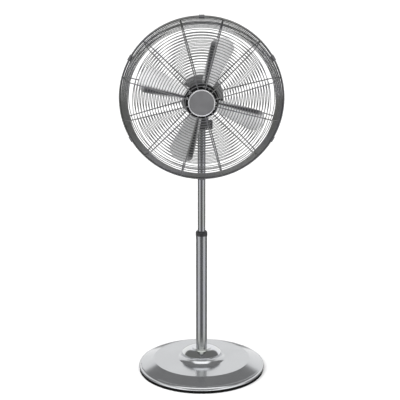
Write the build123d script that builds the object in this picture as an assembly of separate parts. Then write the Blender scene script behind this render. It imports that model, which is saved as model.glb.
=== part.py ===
"""Pedestal fan with a round base, a telescopic mast and a wire cage.

Millimetres, +Z up. The origin is on the floor, under the axis of the mast.
The fan blows towards -Y, and +X is on the right of someone who faces it.

Everything in the head is drawn in the head frame: x to the right, y up and
z forwards along the axis of the motor, with z = 0 on the axis of the mast.
"""
from build123d import *
from math import atan2, degrees, hypot, pi, sqrt
import os

# ---- fits and clearances
RUN_FIT = 0.08            # radial play of a shaft that turns or slides in its bore
LOOSE_FIT = 0.2           # radial play of a screw in a plain hole
GAP = 0.4                 # air between faces of pieces that move past each other
WELD = 0.2                # depth that a welded wire is pressed into a wire that it crosses
PLATE_WELD = 0.04         # depth that a wire is pressed into a plate along its length

# ---- base
BASE_RADIUS = 185.3       # rounded lip of the cover
EDGE_HEIGHT = 9.0         # rubber edging that the base stands on
EDGE_WIDTH = 18.0
LIP_HEIGHT = 12.8         # height of the widest line of the lip
BEVEL_FOOT = (178.0, 20.0)
PLATEAU_RADIUS = 141.5
PLATEAU_HEIGHT = 35.0
FLARE_RADIUS = 70.0
BOSS_RADIUS = 57.5
BOSS_HEIGHT = 54.0
COVER_WALL = 2.0
DOME_TOP = 65.0
DOME_WALL = 1.5
FOOT_RING_RADIUS = 28.5
FOOT_RING_HEIGHT = 4.0
FLOOR_PLATE = 2.0
WEIGHT_RADIUS = 120.0
WEIGHT_THICKNESS = 10.0
THREAD_DEPTH = 7.0        # of each screw in the weight
FLANGE_RADIUS = 46.0
FLANGE_THICKNESS = 7.0
SLEEVE_WALL = 7.0
FLANGE_SCREWS = 4
FLANGE_SCREW_RADIUS = 3.0
FLANGE_SCREW_PLACE = 37.0
FLANGE_SCREW_TURN = 45.0
FLOOR_SCREWS = 6
FLOOR_SCREW_RADIUS = 2.0
FLOOR_SCREW_PLACE = 101.0

# ---- mast
OUTER_RADIUS = 16.0
INNER_RADIUS = 11.0
TUBE_WALL = 1.4
OUTER_TOP = 415.0
COLLAR_HEIGHT = 13.0
COLLAR_PROUD = 0.9
COLLAR_SKIRT = 30.0
BEAD_HEIGHT = 3.5
LOCK_HEIGHT = 397.0
LOCK_SCREW_RADIUS = 3.0
LOCK_BOSS_RADIUS = 7.0
LOCK_BOSS_REACH = 25.0
LOCK_KNOB_RADIUS = 13.0
LOCK_KNOB_LENGTH = 16.0
INNER_BOTTOM = 338.0
INNER_TOP = 727.0
GUIDE_LENGTH = 20.0

# ---- tilt joint
TILT_HEIGHT = 741.0
YOKE_WIDTH = 34.0
CHEEK = 5.6
CHEEK_RADIUS = 12.5
PLUG_TOP_RADIUS = 9.0
TILT_BOLT_RADIUS = 4.0
TILT_KNOB_RADIUS = 13.5
TILT_KNOB_WIDTH = 12.0
TILT_FRONT_DOWN = 15.0    # degrees that the front web leaves free
TILT_FRONT_UP = 25.0
BARREL_RADIUS = 11.5
BARREL_TOP = 798.0
SWIVEL_PIN_RADIUS = 5.0

# ---- head
HEAD_HEIGHT = 835.3
MOTOR_FRONT = 61.0
MOTOR_REAR = 17.5
SHELL_RADIUS = 52.0
SHELL_WALL = 2.0
STATOR_LENGTH = 20.0
STATOR_MIDDLE = 39.0
STATOR_BORE = 22.5
ROTOR_GAP = 0.5
BOLT_RADIUS = 2.0
STATOR_SLOTS = 16
SHAFT_RADIUS = 4.0
SHAFT_FRONT = 149.0
SHAFT_REAR = -24.0
WORM_RADIUS = 5.0
WORM_PITCH = 3.2
BEARING_RADIUS = 9.0
BEARING_LENGTH = 8.0
COVER_RADIUS = 57.0
SKIN = 1.5
COVER_SCREW_TURN = 90.0
COVER_FRONT = 58.0
DOME_START = -22.0
DOME_LENGTH = 52.0
COVER_REAR = -66.0

# ---- swing gearbox under and behind the motor
CASE_LEFT = -25.0
CASE_RIGHT = 35.0
CASE_FRONT = 9.0
CASE_REAR = -54.0
CASE_FLOOR = 808.0
CASE_TOP = 850.0
CASE_WALL = 3.0
PIN_BOSS_HEIGHT = 8.0
CRANK_DISTANCE = 30.0     # crank axis behind the swivel axis
CRANK_THROW = 10.0
SWING_ARM = 15.0          # fixed link pin from the swivel axis
LINK_SLACK = 1.9          # play of the link eye on the fixed pin
LINK_THICKNESS = 3.0
LINK_WIDTH = 5.0
CLUTCH_X = 18.3
CLUTCH_BACK = 12.0
CLUTCH_RADIUS = 3.0
CRANK_TEETH = 48
PINION_TEETH = 12
WHEEL_TEETH = 30
TOOTH_DEPTH = 1.2
PINION_RADIUS = 5.0
SWING_KNOB_RADIUS = 8.0
SWING_KNOB_HEIGHT = 15.0
SWING_KNOB_LIFT = 6.0
SPEED_KNOB_RADIUS = 14.0
SPEED_KNOB_LENGTH = 15.0
GLAND_DROP = 21.5         # cord inlet below the motor axis

# ---- cage
CAGE_RADIUS = 225.0
HOOP_RADIUS = 2.75        # radius of the rim wire
HOOP_SPACING = 9.0        # between the rim wires of the two guards
RIM_PLANE = 104.0         # in front of the mast axis
SPOKES = 12
SPOKE_TURN = 15.0
SPOKE_RADIUS = 1.5
RING_RADIUS = 1.0
RING_PITCH = 7.45
SHOULDER_RADIUS = 200.0
SHOULDER_BEND = 10.0
FRONT_RISE = 61.0
FRONT_SHOULDER = 45.0
FRONT_SIDE_RINGS = 9
REAR_RISE = 41.3
REAR_SHOULDER = 27.0
REAR_SIDE_RINGS = 5
FIRST_FRONT_RING = 44.0
FIRST_REAR_RING = 66.0
BADGE_RADIUS = 36.5
HUB_PLATE_RADIUS = 60.0
HUB_PLATE = 2.0
NOSE_RADIUS = 25.0
CLIPS = 6
CLIP_LENGTH = 15.0
CLIP_WALL = 1.4
CLIP_BARREL = 3.3          # bore round the rim wire
CLIP_TAIL = 9.0            # lever that a finger lifts
CLIP_TAIL_LIFT = 20.0

# ---- blades
BLADES = 4
BLADE_TIP = 180.0
BLADE_ROOT = 28.0
BLADE_ROOT_HALF_WIDTH = 14.0
BLADE_HALF_WIDTH = 33.0    # near the tip, seen from the front
BLADE_TIP_ROUND = 22.0
BLADE_TURN = 21.0         # at rest, clockwise seen from the front
BLADE_PLANE = 121.0
BLADE_PITCH = 28.0
BLADE_CAMBER = 190.0      # radius of the blade's curved section
BLADE_THICKNESS = 1.2
ARM_THICKNESS = 2.0
ARM_TIP = 60.0
ARM_HALF_WIDTH = 13.0
HUB_BOSS_RADIUS = 13.0
HUB_BOSS_LENGTH = 31.0
HUB_DISC_RADIUS = 47.0
HUB_DISC_PLACE = 136.0
RIVET_RADIUS = 2.2
RIVET_HEAD_RADIUS = 3.6
RIVET_SPREAD = 7.5
RIVET_REACH = 38.0
RIVET_TAIL = 10.0          # behind the middle of the blade

# ---- values worked out from the ones above
RIM_WIRE_RADIUS = CAGE_RADIUS - HOOP_RADIUS
FLOOR_PLATE_BOTTOM = 2.0
WEIGHT_BOTTOM = FLOOR_PLATE_BOTTOM + FLOOR_PLATE
WEIGHT_TOP = WEIGHT_BOTTOM + WEIGHT_THICKNESS
TUBE_FOOT = WEIGHT_TOP
CHEEK_INSIDE = YOKE_WIDTH / 2 - CHEEK
PLUG_HALF_WIDTH = CHEEK_INSIDE - GAP
ARM_TOP = BARREL_TOP - 1.0
MOTOR_BOLT_TURN = SPOKE_TURN + 180 / SPOKES
COVER_SCREW_PLACE = STATOR_MIDDLE + 15.0
LINK_BOTTOM = BARREL_TOP + 1.0
HUB_DISC_FRONT = HUB_DISC_PLACE + 2.0
BLADE_BACK = BLADE_PLANE - 50.0
BLADE_FRONT = BLADE_PLANE + 50.0
CRANK_BOTTOM = LINK_BOTTOM + LINK_THICKNESS + 1.0
GEAR_BOTTOM = CASE_FLOOR + CASE_WALL + 5.0
GEAR_HEIGHT = 6.0
GEAR_CENTRES = hypot(CLUTCH_X, CRANK_DISTANCE - CLUTCH_BACK)
CRANK_GEAR_RADIUS = GEAR_CENTRES - PINION_RADIUS - GAP
WHEEL_RADIUS = CLUTCH_X - WORM_RADIUS - GAP
RAIL_FRONT = RIM_PLANE + HOOP_SPACING / 2
RAIL_REAR = RIM_PLANE - HOOP_SPACING / 2

HEAD = Pos(0, 0, HEAD_HEIGHT) * Rot(90, 0, 0)


# ---- small helpers
def turned(*corners):
    """Solid of revolution about Z from (radius, height) corners."""
    outline = make_face(Polyline(*corners, close=True))
    return revolve(Plane.XZ * outline, Axis.Z)


def tube(outer, inner, bottom, top):
    """Tube or ring about Z."""
    return turned((inner, bottom), (outer, bottom), (outer, top), (inner, top))


def rod(radius, bottom, top):
    """Round rod about Z."""
    return Pos(0, 0, (bottom + top) / 2) * Cylinder(radius, top - bottom)


def block(low, high):
    """Box between two corners."""
    size = [b - a for a, b in zip(low, high)]
    middle = [(a + b) / 2 for a, b in zip(low, high)]
    return Pos(*middle) * Box(*size)


def around(shape, count, start=0.0):
    """Copies of a shape spread evenly about Z."""
    return [Rot(0, 0, start + i * 360 / count) * shape for i in range(count)]


def along_x(shape, place=(0, 0, 0)):
    """Turn a shape drawn about Z so that its axis runs along +X."""
    return Pos(*place) * Rot(0, 90, 0) * shape


def along_rear(shape, place=(0, 0, 0)):
    """Turn a shape drawn about Z so that its axis runs along +Y, to the rear."""
    return Pos(*place) * Rot(-90, 0, 0) * shape


def cut_all(shape, cutters):
    """Take each cutter from a shape."""
    for cutter in cutters:
        shape -= cutter
    return shape


def outer_edge(shape, radius, height):
    """Round edge of a turned shape at a radius and a height."""
    def is_it(edge):
        """Whether an edge has that radius and height."""
        return abs(edge.radius - radius) < 0.01 and abs(edge.center().Z - height) < 0.01

    return shape.edges().filter_by(GeomType.CIRCLE).filter_by(is_it)


def swept(path, radius):
    """Round wire along a path."""
    section = Plane(origin=path @ 0, z_dir=path % 0) * Circle(radius)
    return sweep(section, path=path)


def toothed(tip_radius, teeth, depth, bottom, top, bore):
    """Spur wheel about Z with straight-sided teeth and a bore."""
    wheel = tube(tip_radius, bore, bottom, top)
    width = pi * tip_radius / teeth
    slot = block((tip_radius - depth, -width / 2, bottom - 1), (tip_radius + 1, width / 2, top + 1))
    return cut_all(wheel, around(slot, teeth))


def knurled(radius, bottom, top, grooves, groove_radius):
    """Round knob about Z with grooves down its side and a rounded outer edge."""
    knob = fillet(rod(radius, bottom, top).edges().group_by(Axis.Z)[-1], 1.5)
    groove = Pos(radius + groove_radius * 0.4, 0, 0) * rod(groove_radius, bottom - 1, top + 1)
    return cut_all(knob, around(groove, grooves))


def screw(shank, length, head, head_height):
    """Pan-head screw about Z: the head is above z = 0 and the shank below it."""
    body = rod(shank, -length, 0) + rod(head, 0, head_height)
    return body - block((-head, -0.6, head_height - 0.9), (head, 0.6, head_height + 1))


# ---- base
def base_outline(inset):
    """Half section of the base cover, set in by a wall thickness."""
    top = PLATEAU_HEIGHT - inset
    lip = BASE_RADIUS - inset
    boss = BOSS_RADIUS - inset
    bottom = EDGE_HEIGHT
    half_flare = (FLARE_RADIUS + BOSS_RADIUS) / 2
    waist = (half_flare - 3.0 - inset, (PLATEAU_HEIGHT + BOSS_HEIGHT) / 2 - 3.0 - inset)
    bevel = (BEVEL_FOOT[0] - inset, BEVEL_FOOT[1] - inset * 0.6)
    lines = [
        Line((0, bottom), (lip - 1.5, bottom)),
        ThreePointArc((lip - 1.5, bottom), (lip, LIP_HEIGHT - inset * 0.2), bevel),
        Line(bevel, (PLATEAU_RADIUS - inset, top)),
        Line((PLATEAU_RADIUS - inset, top), (FLARE_RADIUS - inset, top)),
        ThreePointArc((FLARE_RADIUS - inset, top), waist, (boss, BOSS_HEIGHT - inset)),
        Line((boss, BOSS_HEIGHT - inset), (0, BOSS_HEIGHT - inset)),
        Line((0, BOSS_HEIGHT - inset), (0, bottom)),
    ]
    return revolve(Plane.XZ * make_face(lines), Axis.Z)


def base_cover():
    """Pressed cover: bevelled dish with a flared boss, open under the dome."""
    shell = base_outline(0) - base_outline(COVER_WALL)
    return shell - rod(BOSS_RADIUS - 2 * COVER_WALL, BOSS_HEIGHT - 2 * COVER_WALL, BOSS_HEIGHT + 1)


def base_edging():
    """Rubber edging with a ledge that holds the floor plate."""
    outer = BASE_RADIUS - 1.5
    ring = tube(outer, outer - EDGE_WIDTH, 0, EDGE_HEIGHT)
    return chamfer(outer_edge(ring, outer, 0) + outer_edge(ring, outer, EDGE_HEIGHT), 1.2)


def base_floor_plate():
    """Steel plate that closes the base from below."""
    plate = rod(BASE_RADIUS - 1.5 - EDGE_WIDTH, FLOOR_PLATE_BOTTOM, WEIGHT_BOTTOM)
    return cut_all(plate, around(floor_hole(), FLOOR_SCREWS))


def base_weight():
    """Cast-iron weight with threaded holes from both sides."""
    weight = rod(WEIGHT_RADIUS, WEIGHT_BOTTOM, WEIGHT_TOP)
    weight = cut_all(weight, around(flange_hole(), FLANGE_SCREWS, FLANGE_SCREW_TURN))
    return cut_all(weight, around(floor_hole(), FLOOR_SCREWS))


def flange_hole():
    """Hole of one flange screw."""
    bottom = WEIGHT_TOP - THREAD_DEPTH - 1
    hole = rod(FLANGE_SCREW_RADIUS, bottom, WEIGHT_TOP + FLANGE_THICKNESS + 1)
    return Pos(FLANGE_SCREW_PLACE, 0, 0) * hole


def floor_hole():
    """Hole of one floor plate screw."""
    hole = rod(FLOOR_SCREW_RADIUS, FLOOR_PLATE_BOTTOM - 1, WEIGHT_BOTTOM + THREAD_DEPTH + 1)
    return Pos(FLOOR_SCREW_PLACE, 0, 0) * hole


def pole_flange():
    """Flanged sleeve that holds the foot of the outer tube on the weight."""
    flange = rod(FLANGE_RADIUS, WEIGHT_TOP, WEIGHT_TOP + FLANGE_THICKNESS)
    flange += rod(OUTER_RADIUS + SLEEVE_WALL, WEIGHT_TOP, BOSS_HEIGHT + 4)
    flange -= rod(OUTER_RADIUS, WEIGHT_TOP - 1, BOSS_HEIGHT + 5)
    return cut_all(flange, around(flange_hole(), FLANGE_SCREWS, FLANGE_SCREW_TURN))


def base_screws():
    """Four flange screws from above and six floor plate screws from below."""
    top = screw(FLANGE_SCREW_RADIUS, FLANGE_THICKNESS + THREAD_DEPTH, 5.0, 3.5)
    top = Pos(FLANGE_SCREW_PLACE, 0, WEIGHT_TOP + FLANGE_THICKNESS) * top
    low = Rot(180, 0, 0) * screw(FLOOR_SCREW_RADIUS, FLOOR_PLATE + THREAD_DEPTH, 3.6, 1.4)
    low = Pos(FLOOR_SCREW_PLACE, 0, FLOOR_PLATE_BOTTOM) * low
    return around(top, FLANGE_SCREWS, FLANGE_SCREW_TURN) + around(low, FLOOR_SCREWS)


def base_dome():
    """Polished dome that hides the flange, with a hole for the mast."""
    edge = BOSS_RADIUS - 0.5
    hole = OUTER_RADIUS + GAP

    def half(drop):
        """Filled half section of the dome, lowered by a wall."""
        shoulder = (FOOT_RING_RADIUS + edge) / 2 + 3.0
        foot = (edge - drop, BOSS_HEIGHT)
        crown = (FOOT_RING_RADIUS, DOME_TOP - drop)
        lines = [
            Line((0, BOSS_HEIGHT), foot),
            ThreePointArc(foot, (shoulder - drop, DOME_TOP - 4.0 - drop), crown),
            Line(crown, (0, crown[1])),
            Line((0, crown[1]), (0, BOSS_HEIGHT)),
        ]
        return revolve(Plane.XZ * make_face(lines), Axis.Z)

    top = DOME_TOP + FOOT_RING_HEIGHT
    dome = half(0) - half(DOME_WALL) + rod(FOOT_RING_RADIUS, DOME_TOP - DOME_WALL, top)
    dome -= rod(hole, BOSS_HEIGHT - 1, top + 1)
    return fillet(outer_edge(dome, FOOT_RING_RADIUS, top), 1.5)


# ---- mast
def outer_tube():
    """Outer tube with a rolled bead at its mouth and the welded lock boss."""
    body = tube(OUTER_RADIUS, OUTER_RADIUS - TUBE_WALL, TUBE_FOOT, OUTER_TOP)
    body += tube(OUTER_RADIUS + 0.4, OUTER_RADIUS - TUBE_WALL, OUTER_TOP - BEAD_HEIGHT, OUTER_TOP)
    boss = along_rear(rod(LOCK_BOSS_RADIUS, OUTER_RADIUS - 1, LOCK_BOSS_REACH), (0, 0, LOCK_HEIGHT))
    body += boss - rod(OUTER_RADIUS - TUBE_WALL, LOCK_HEIGHT - 20, LOCK_HEIGHT + 20)
    return body - along_rear(rod(LOCK_SCREW_RADIUS + RUN_FIT, 1, LOCK_BOSS_REACH + 1), (0, 0, LOCK_HEIGHT))


def collar_bush():
    """Black bush in the mouth of the outer tube, which guides the inner tube."""
    bore = INNER_RADIUS + RUN_FIT
    skirt = OUTER_RADIUS - TUBE_WALL
    head = OUTER_RADIUS + COLLAR_PROUD
    top = OUTER_TOP + COLLAR_HEIGHT
    bush = turned(
        (bore, OUTER_TOP - COLLAR_SKIRT),
        (skirt, OUTER_TOP - COLLAR_SKIRT),
        (skirt, OUTER_TOP),
        (head, OUTER_TOP),
        (head, top - 5.0),
        (head - 1.0, top - 1.5),
        (head - 3.0, top),
        (bore + 0.6, top),
        (bore, top - 0.8),
    )
    return bush - along_rear(rod(LOCK_SCREW_RADIUS + LOOSE_FIT, 1, OUTER_RADIUS), (0, 0, LOCK_HEIGHT))


def lock_knob():
    """Knob moulded on the screw that presses on the inner tube."""
    start = LOCK_BOSS_REACH + 1
    knob = knurled(LOCK_KNOB_RADIUS, start, start + LOCK_KNOB_LENGTH, 12, 2.2)
    knob += rod(LOCK_SCREW_RADIUS, INNER_RADIUS + 0.15, start + 1)
    return along_rear(knob, (0, 0, LOCK_HEIGHT))


def inner_tube():
    """Inner tube, which slides in the outer one."""
    return tube(INNER_RADIUS, INNER_RADIUS - TUBE_WALL, INNER_BOTTOM, INNER_TOP)


def inner_guide():
    """Plastic guide on the lower end of the inner tube."""
    outer = OUTER_RADIUS - TUBE_WALL - RUN_FIT
    plug = INNER_RADIUS - TUBE_WALL
    return turned(
        (plug - 2, INNER_BOTTOM - 6),
        (outer, INNER_BOTTOM - 6),
        (outer, INNER_BOTTOM + GUIDE_LENGTH - 6),
        (INNER_RADIUS, INNER_BOTTOM + GUIDE_LENGTH - 6),
        (INNER_RADIUS, INNER_BOTTOM),
        (plug, INNER_BOTTOM),
        (plug, INNER_BOTTOM + GUIDE_LENGTH),
        (plug - 2, INNER_BOTTOM + GUIDE_LENGTH),
    )


# ---- tilt joint
def mast_plug():
    """Plug in the top of the inner tube, with the eye of the tilt joint."""
    stem = rod(INNER_RADIUS - TUBE_WALL, INNER_TOP - 36, INNER_TOP)
    half = PLUG_HALF_WIDTH
    neck = block((-half, -PLUG_TOP_RADIUS, INNER_TOP), (half, PLUG_TOP_RADIUS, TILT_HEIGHT))
    eye = along_x(rod(PLUG_TOP_RADIUS, -half, half), (0, 0, TILT_HEIGHT))
    plug = stem + neck + eye
    return plug - along_x(rod(TILT_BOLT_RADIUS, -YOKE_WIDTH, YOKE_WIDTH), (0, 0, TILT_HEIGHT))


def tilt_yoke():
    """Yoke on the mast plug, with the swivel barrel and the fixed arm of the swing link."""
    half = YOKE_WIDTH / 2
    hood = CHEEK_RADIUS
    body = along_x(rod(hood, -half, half), (0, 0, TILT_HEIGHT))
    body += block((-half, -hood, TILT_HEIGHT), (half, hood, TILT_HEIGHT + 30))
    body += rod(BARREL_RADIUS, TILT_HEIGHT + 26, BARREL_TOP)
    body += Pos(SWING_ARM, 0, 0) * rod(4.5, ARM_TOP - 11, ARM_TOP)
    body += block((0, -4.5, ARM_TOP - 11), (SWING_ARM, 4.5, ARM_TOP))
    body += Pos(SWING_ARM, 0, 0) * rod(2.0, ARM_TOP - 1, LINK_BOTTOM + LINK_THICKNESS + 0.4)
    inside = PLUG_TOP_RADIUS + GAP
    cavity = along_x(rod(inside, -CHEEK_INSIDE, CHEEK_INSIDE), (0, 0, TILT_HEIGHT))
    body -= cavity
    body -= block((-CHEEK_INSIDE, -40, TILT_HEIGHT - 40), (CHEEK_INSIDE, 40, TILT_HEIGHT))
    for side, free in ((-1, TILT_FRONT_DOWN), (1, TILT_FRONT_UP)):
        opening = block((-CHEEK_INSIDE, 0, -40), (CHEEK_INSIDE, 40, 0))
        if side < 0:
            opening = Rot(0, 0, 180) * opening
        body -= Pos(0, 0, TILT_HEIGHT) * Rot(side * (free + 2), 0, 0) * opening
    body -= along_x(rod(TILT_BOLT_RADIUS + RUN_FIT, -half - 1, half + 1), (0, 0, TILT_HEIGHT))
    return body - rod(SWIVEL_PIN_RADIUS + RUN_FIT, TILT_HEIGHT + 24, BARREL_TOP + 1)


def tilt_bolt():
    """Cross bolt of the tilt joint, with a hexagonal head on the left, and its two washers."""
    head = YOKE_WIDTH / 2 + 1.7
    bolt = rod(TILT_BOLT_RADIUS, -head - 1, YOKE_WIDTH / 2 + 9)
    bolt += extrude(Plane(origin=(0, 0, -head - 6.5)) * RegularPolygon(7.5, 6), 6.5)
    washer = tube(9.5, TILT_BOLT_RADIUS, YOKE_WIDTH / 2 + 0.1, head)
    pieces = [bolt, washer, Pos(0, 0, -YOKE_WIDTH / 2 - head - 0.1) * washer]
    return [along_x(piece, (0, 0, TILT_HEIGHT)) for piece in pieces]


def tilt_knob():
    """Knob that clamps the tilt joint, on the right."""
    start = YOKE_WIDTH / 2 + 2.0
    knob = knurled(TILT_KNOB_RADIUS, start, start + TILT_KNOB_WIDTH, 14, 2.0)
    knob -= rod(TILT_BOLT_RADIUS + RUN_FIT, start - 1, YOKE_WIDTH / 2 + 9.3)
    return along_x(knob, (0, 0, TILT_HEIGHT))


# ---- swing gearbox, in the world frame
def gear_case():
    """Open-topped gear case with the boss that grips the swivel pin."""
    low = (CASE_LEFT, -CASE_FRONT, CASE_FLOOR)
    high = (CASE_RIGHT, -CASE_REAR, CASE_TOP)
    case = fillet(block(low, high).edges().filter_by(Axis.Z), 6.0)
    wall = CASE_WALL
    low = (CASE_LEFT + wall, -CASE_FRONT + wall, CASE_FLOOR + wall)
    high = (CASE_RIGHT - wall, -CASE_REAR - wall, CASE_TOP + 1)
    case -= fillet(block(low, high).edges().filter_by(Axis.Z), 3.0)
    boss = rod(SWIVEL_PIN_RADIUS + 3.5, CASE_FLOOR, CASE_FLOOR + PIN_BOSS_HEIGHT)
    case += boss - block((-9, -20, CASE_FLOOR - 1), (9, -CASE_FRONT, CASE_TOP))
    case -= rod(SWIVEL_PIN_RADIUS, CASE_FLOOR - 1, CASE_FLOOR + PIN_BOSS_HEIGHT + 1)
    case -= Pos(0, CRANK_DISTANCE, 0) * rod(4.0 + RUN_FIT, CASE_FLOOR - 1, CASE_FLOOR + wall + 1)
    worm_hole = rod(WORM_RADIUS + 2, -CASE_FRONT - 1, -CASE_FRONT + wall + 1)
    return case - along_rear(worm_hole, (0, 0, HEAD_HEIGHT))


def gear_lid():
    """Lid of the gear case, with the bearing hole of the clutch shaft."""
    top = CASE_TOP + CASE_WALL
    lid = block((CASE_LEFT, -CASE_FRONT, CASE_TOP), (CASE_RIGHT, -CASE_REAR, top))
    lid = fillet(lid.edges().filter_by(Axis.Z), 6.0)
    bore = rod(CLUTCH_RADIUS + RUN_FIT, CASE_TOP - 1, top + 1)
    return lid - Pos(CLUTCH_X, CLUTCH_BACK, 0) * bore


def swivel_pin():
    """Pin pressed into the gear case, which turns in the barrel of the yoke."""
    return rod(SWIVEL_PIN_RADIUS, TILT_HEIGHT + 28, CASE_FLOOR + PIN_BOSS_HEIGHT)


def worm_wheel():
    """Wheel driven by the worm, free on the clutch shaft."""
    wheel = toothed(WHEEL_RADIUS, WHEEL_TEETH, TOOTH_DEPTH, -3, 3, CLUTCH_RADIUS + RUN_FIT)
    return Pos(CLUTCH_X, CLUTCH_BACK, HEAD_HEIGHT) * wheel


def clutch_shaft():
    """Upright shaft with the pinion, joined to the worm wheel when its knob is down."""
    stem = rod(CLUTCH_RADIUS, CASE_FLOOR + CASE_WALL + GAP, HEAD_HEIGHT + COVER_RADIUS + 10)
    top = GEAR_BOTTOM + GEAR_HEIGHT
    bore = CLUTCH_RADIUS - 0.5
    pinion = toothed(PINION_RADIUS, PINION_TEETH, TOOTH_DEPTH, GEAR_BOTTOM, top, bore)
    return Pos(CLUTCH_X, CLUTCH_BACK, 0) * (stem + pinion)


def swing_knob():
    """Push-pull knob on the clutch shaft, above the motor cover."""
    top = HEAD_HEIGHT + COVER_RADIUS
    bottom = top - 0.6
    knob = knurled(SWING_KNOB_RADIUS, bottom, bottom + SWING_KNOB_HEIGHT, 10, 1.6)
    knob -= rod(CLUTCH_RADIUS + RUN_FIT, bottom - 1, top + 10.4)
    return Pos(CLUTCH_X, CLUTCH_BACK, 0) * knob


def crank_gear():
    """Large gear with the crank disc and crank pin below the case floor."""
    gear = toothed(CRANK_GEAR_RADIUS, CRANK_TEETH, TOOTH_DEPTH, GEAR_BOTTOM, GEAR_BOTTOM + GEAR_HEIGHT, 3.0)
    gear += rod(4.0, CRANK_BOTTOM, GEAR_BOTTOM + GEAR_HEIGHT)
    gear += rod(CRANK_THROW + 3.5, CRANK_BOTTOM, CASE_FLOOR - GAP)
    gear += Pos(CRANK_THROW, 0, 0) * rod(2.0, LINK_BOTTOM - 0.6, CRANK_BOTTOM + 1)
    return Pos(0, CRANK_DISTANCE, 0) * gear


def swing_link():
    """Link from the crank pin to the fixed arm; its front eye is wide."""
    reach = hypot(SWING_ARM - CRANK_THROW, CRANK_DISTANCE)
    eye = 2.0 + LINK_SLACK
    top = LINK_BOTTOM + LINK_THICKNESS
    link = block((0, -LINK_WIDTH / 2, LINK_BOTTOM), (reach, LINK_WIDTH / 2, top))
    link += rod(4.2, LINK_BOTTOM, top)
    link += Pos(reach, 0, 0) * rod(eye + 2.4, LINK_BOTTOM, top)
    link -= rod(2.0 + RUN_FIT, LINK_BOTTOM - 1, top + 1)
    link -= Pos(reach, 0, 0) * rod(eye, LINK_BOTTOM - 1, top + 1)
    heading = degrees(atan2(-CRANK_DISTANCE, SWING_ARM - CRANK_THROW))
    return Pos(CRANK_THROW, CRANK_DISTANCE, 0) * Rot(0, 0, heading) * link


# ---- motor, in the head frame
def motor_bolt_places(shape):
    """Four copies of a shape on the bolt circle of the motor, between the spokes."""
    return around(Pos(SHELL_RADIUS - 5.8, 0, 0) * shape, 4, MOTOR_BOLT_TURN)


def cover_screw_places(shape):
    """Three copies, round the motor cover, of a shape drawn about the X axis."""
    return around(Pos(0, 0, COVER_SCREW_PLACE) * shape, 3, COVER_SCREW_TURN)


def motor_front_shell():
    """Front half of the motor body, with the threaded nose and the bearing seat."""
    inner = SHELL_RADIUS - SHELL_WALL
    shell = tube(SHELL_RADIUS, inner, STATOR_MIDDLE, MOTOR_FRONT)
    shell += rod(SHELL_RADIUS, MOTOR_FRONT - SHELL_WALL, MOTOR_FRONT)
    shell += rod(HUB_PLATE_RADIUS - 20, MOTOR_FRONT - 1, RIM_PLANE - REAR_RISE + SPOKE_RADIUS - PLATE_WELD)
    shell += rod(NOSE_RADIUS, MOTOR_FRONT - 1, MOTOR_FRONT + 13)
    shell = fillet(outer_edge(shell, SHELL_RADIUS, MOTOR_FRONT), 1.5)
    shell -= rod(BEARING_RADIUS, MOTOR_FRONT - 20, MOTOR_FRONT + 5)
    shell -= rod(SHAFT_RADIUS + 1, MOTOR_FRONT, MOTOR_FRONT + 14)
    shell = cut_all(shell, motor_bolt_places(rod(BOLT_RADIUS, STATOR_MIDDLE, MOTOR_FRONT + 1)))
    cover_hole = along_x(rod(BOLT_RADIUS, SHELL_RADIUS - 4, SHELL_RADIUS + 1))
    shell = cut_all(shell, cover_screw_places(cover_hole))
    vent = block((41.5, -2.2, MOTOR_FRONT - 5), (SHELL_RADIUS - 2.5, 2.2, MOTOR_FRONT + 0.5))
    return cut_all(shell, around(vent, 12, MOTOR_BOLT_TURN / 2))


def motor_rear_shell():
    """Rear half of the motor body, which carries the gear case."""
    inner = SHELL_RADIUS - SHELL_WALL
    shell = tube(SHELL_RADIUS, inner, MOTOR_REAR, STATOR_MIDDLE)
    shell += rod(SHELL_RADIUS, MOTOR_REAR, MOTOR_REAR + SHELL_WALL)
    shell += rod(BEARING_RADIUS + 3, MOTOR_REAR, MOTOR_REAR + BEARING_LENGTH)
    low = (CASE_LEFT, CASE_FLOOR - HEAD_HEIGHT, CASE_FRONT)
    shell += block(low, (CASE_RIGHT, CASE_TOP - HEAD_HEIGHT, MOTOR_REAR))
    shell -= rod(BEARING_RADIUS, MOTOR_REAR, MOTOR_REAR + BEARING_LENGTH + 1)
    shell -= rod(WORM_RADIUS + 2, CASE_FRONT - 1, MOTOR_REAR + 1)
    return cut_all(shell, motor_bolt_places(rod(BOLT_RADIUS, MOTOR_REAR - 1, STATOR_MIDDLE)))


def bearings():
    """Two plain bearings, in the front and rear shells."""
    front = tube(BEARING_RADIUS, SHAFT_RADIUS + RUN_FIT, MOTOR_FRONT - 3, MOTOR_FRONT + 5)
    rear = tube(BEARING_RADIUS, SHAFT_RADIUS + RUN_FIT, MOTOR_REAR, MOTOR_REAR + BEARING_LENGTH)
    return [front, rear]


def slot_places(shape):
    """Copies of a shape on the slot circle of the stator."""
    return around(Pos((STATOR_BORE + SHELL_RADIUS) / 2 - 6, 0, 0) * shape, STATOR_SLOTS)


def stator_core():
    """Laminated stator with winding slots and bolt holes."""
    low = STATOR_MIDDLE - STATOR_LENGTH / 2
    high = STATOR_MIDDLE + STATOR_LENGTH / 2
    core = tube(SHELL_RADIUS - SHELL_WALL, STATOR_BORE, low, high)
    core = cut_all(core, slot_places(rod(2.5, low - 1, high + 1)))
    return cut_all(core, motor_bolt_places(rod(BOLT_RADIUS, low - 1, high + 1)))


def stator_windings():
    """Copper windings: end turns on both sides, joined through the slots."""
    low = STATOR_MIDDLE - STATOR_LENGTH / 2
    high = STATOR_MIDDLE + STATOR_LENGTH / 2
    middle = (STATOR_BORE + SHELL_RADIUS) / 2 - 6
    wires = tube(middle + 6, middle - 5, high + 0.5, high + 7.5)
    wires += tube(middle + 6, middle - 5, low - 7.5, low - 0.5)
    for bar in slot_places(rod(2.2, low - 1, high + 1)):
        wires += bar
    return wires


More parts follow.
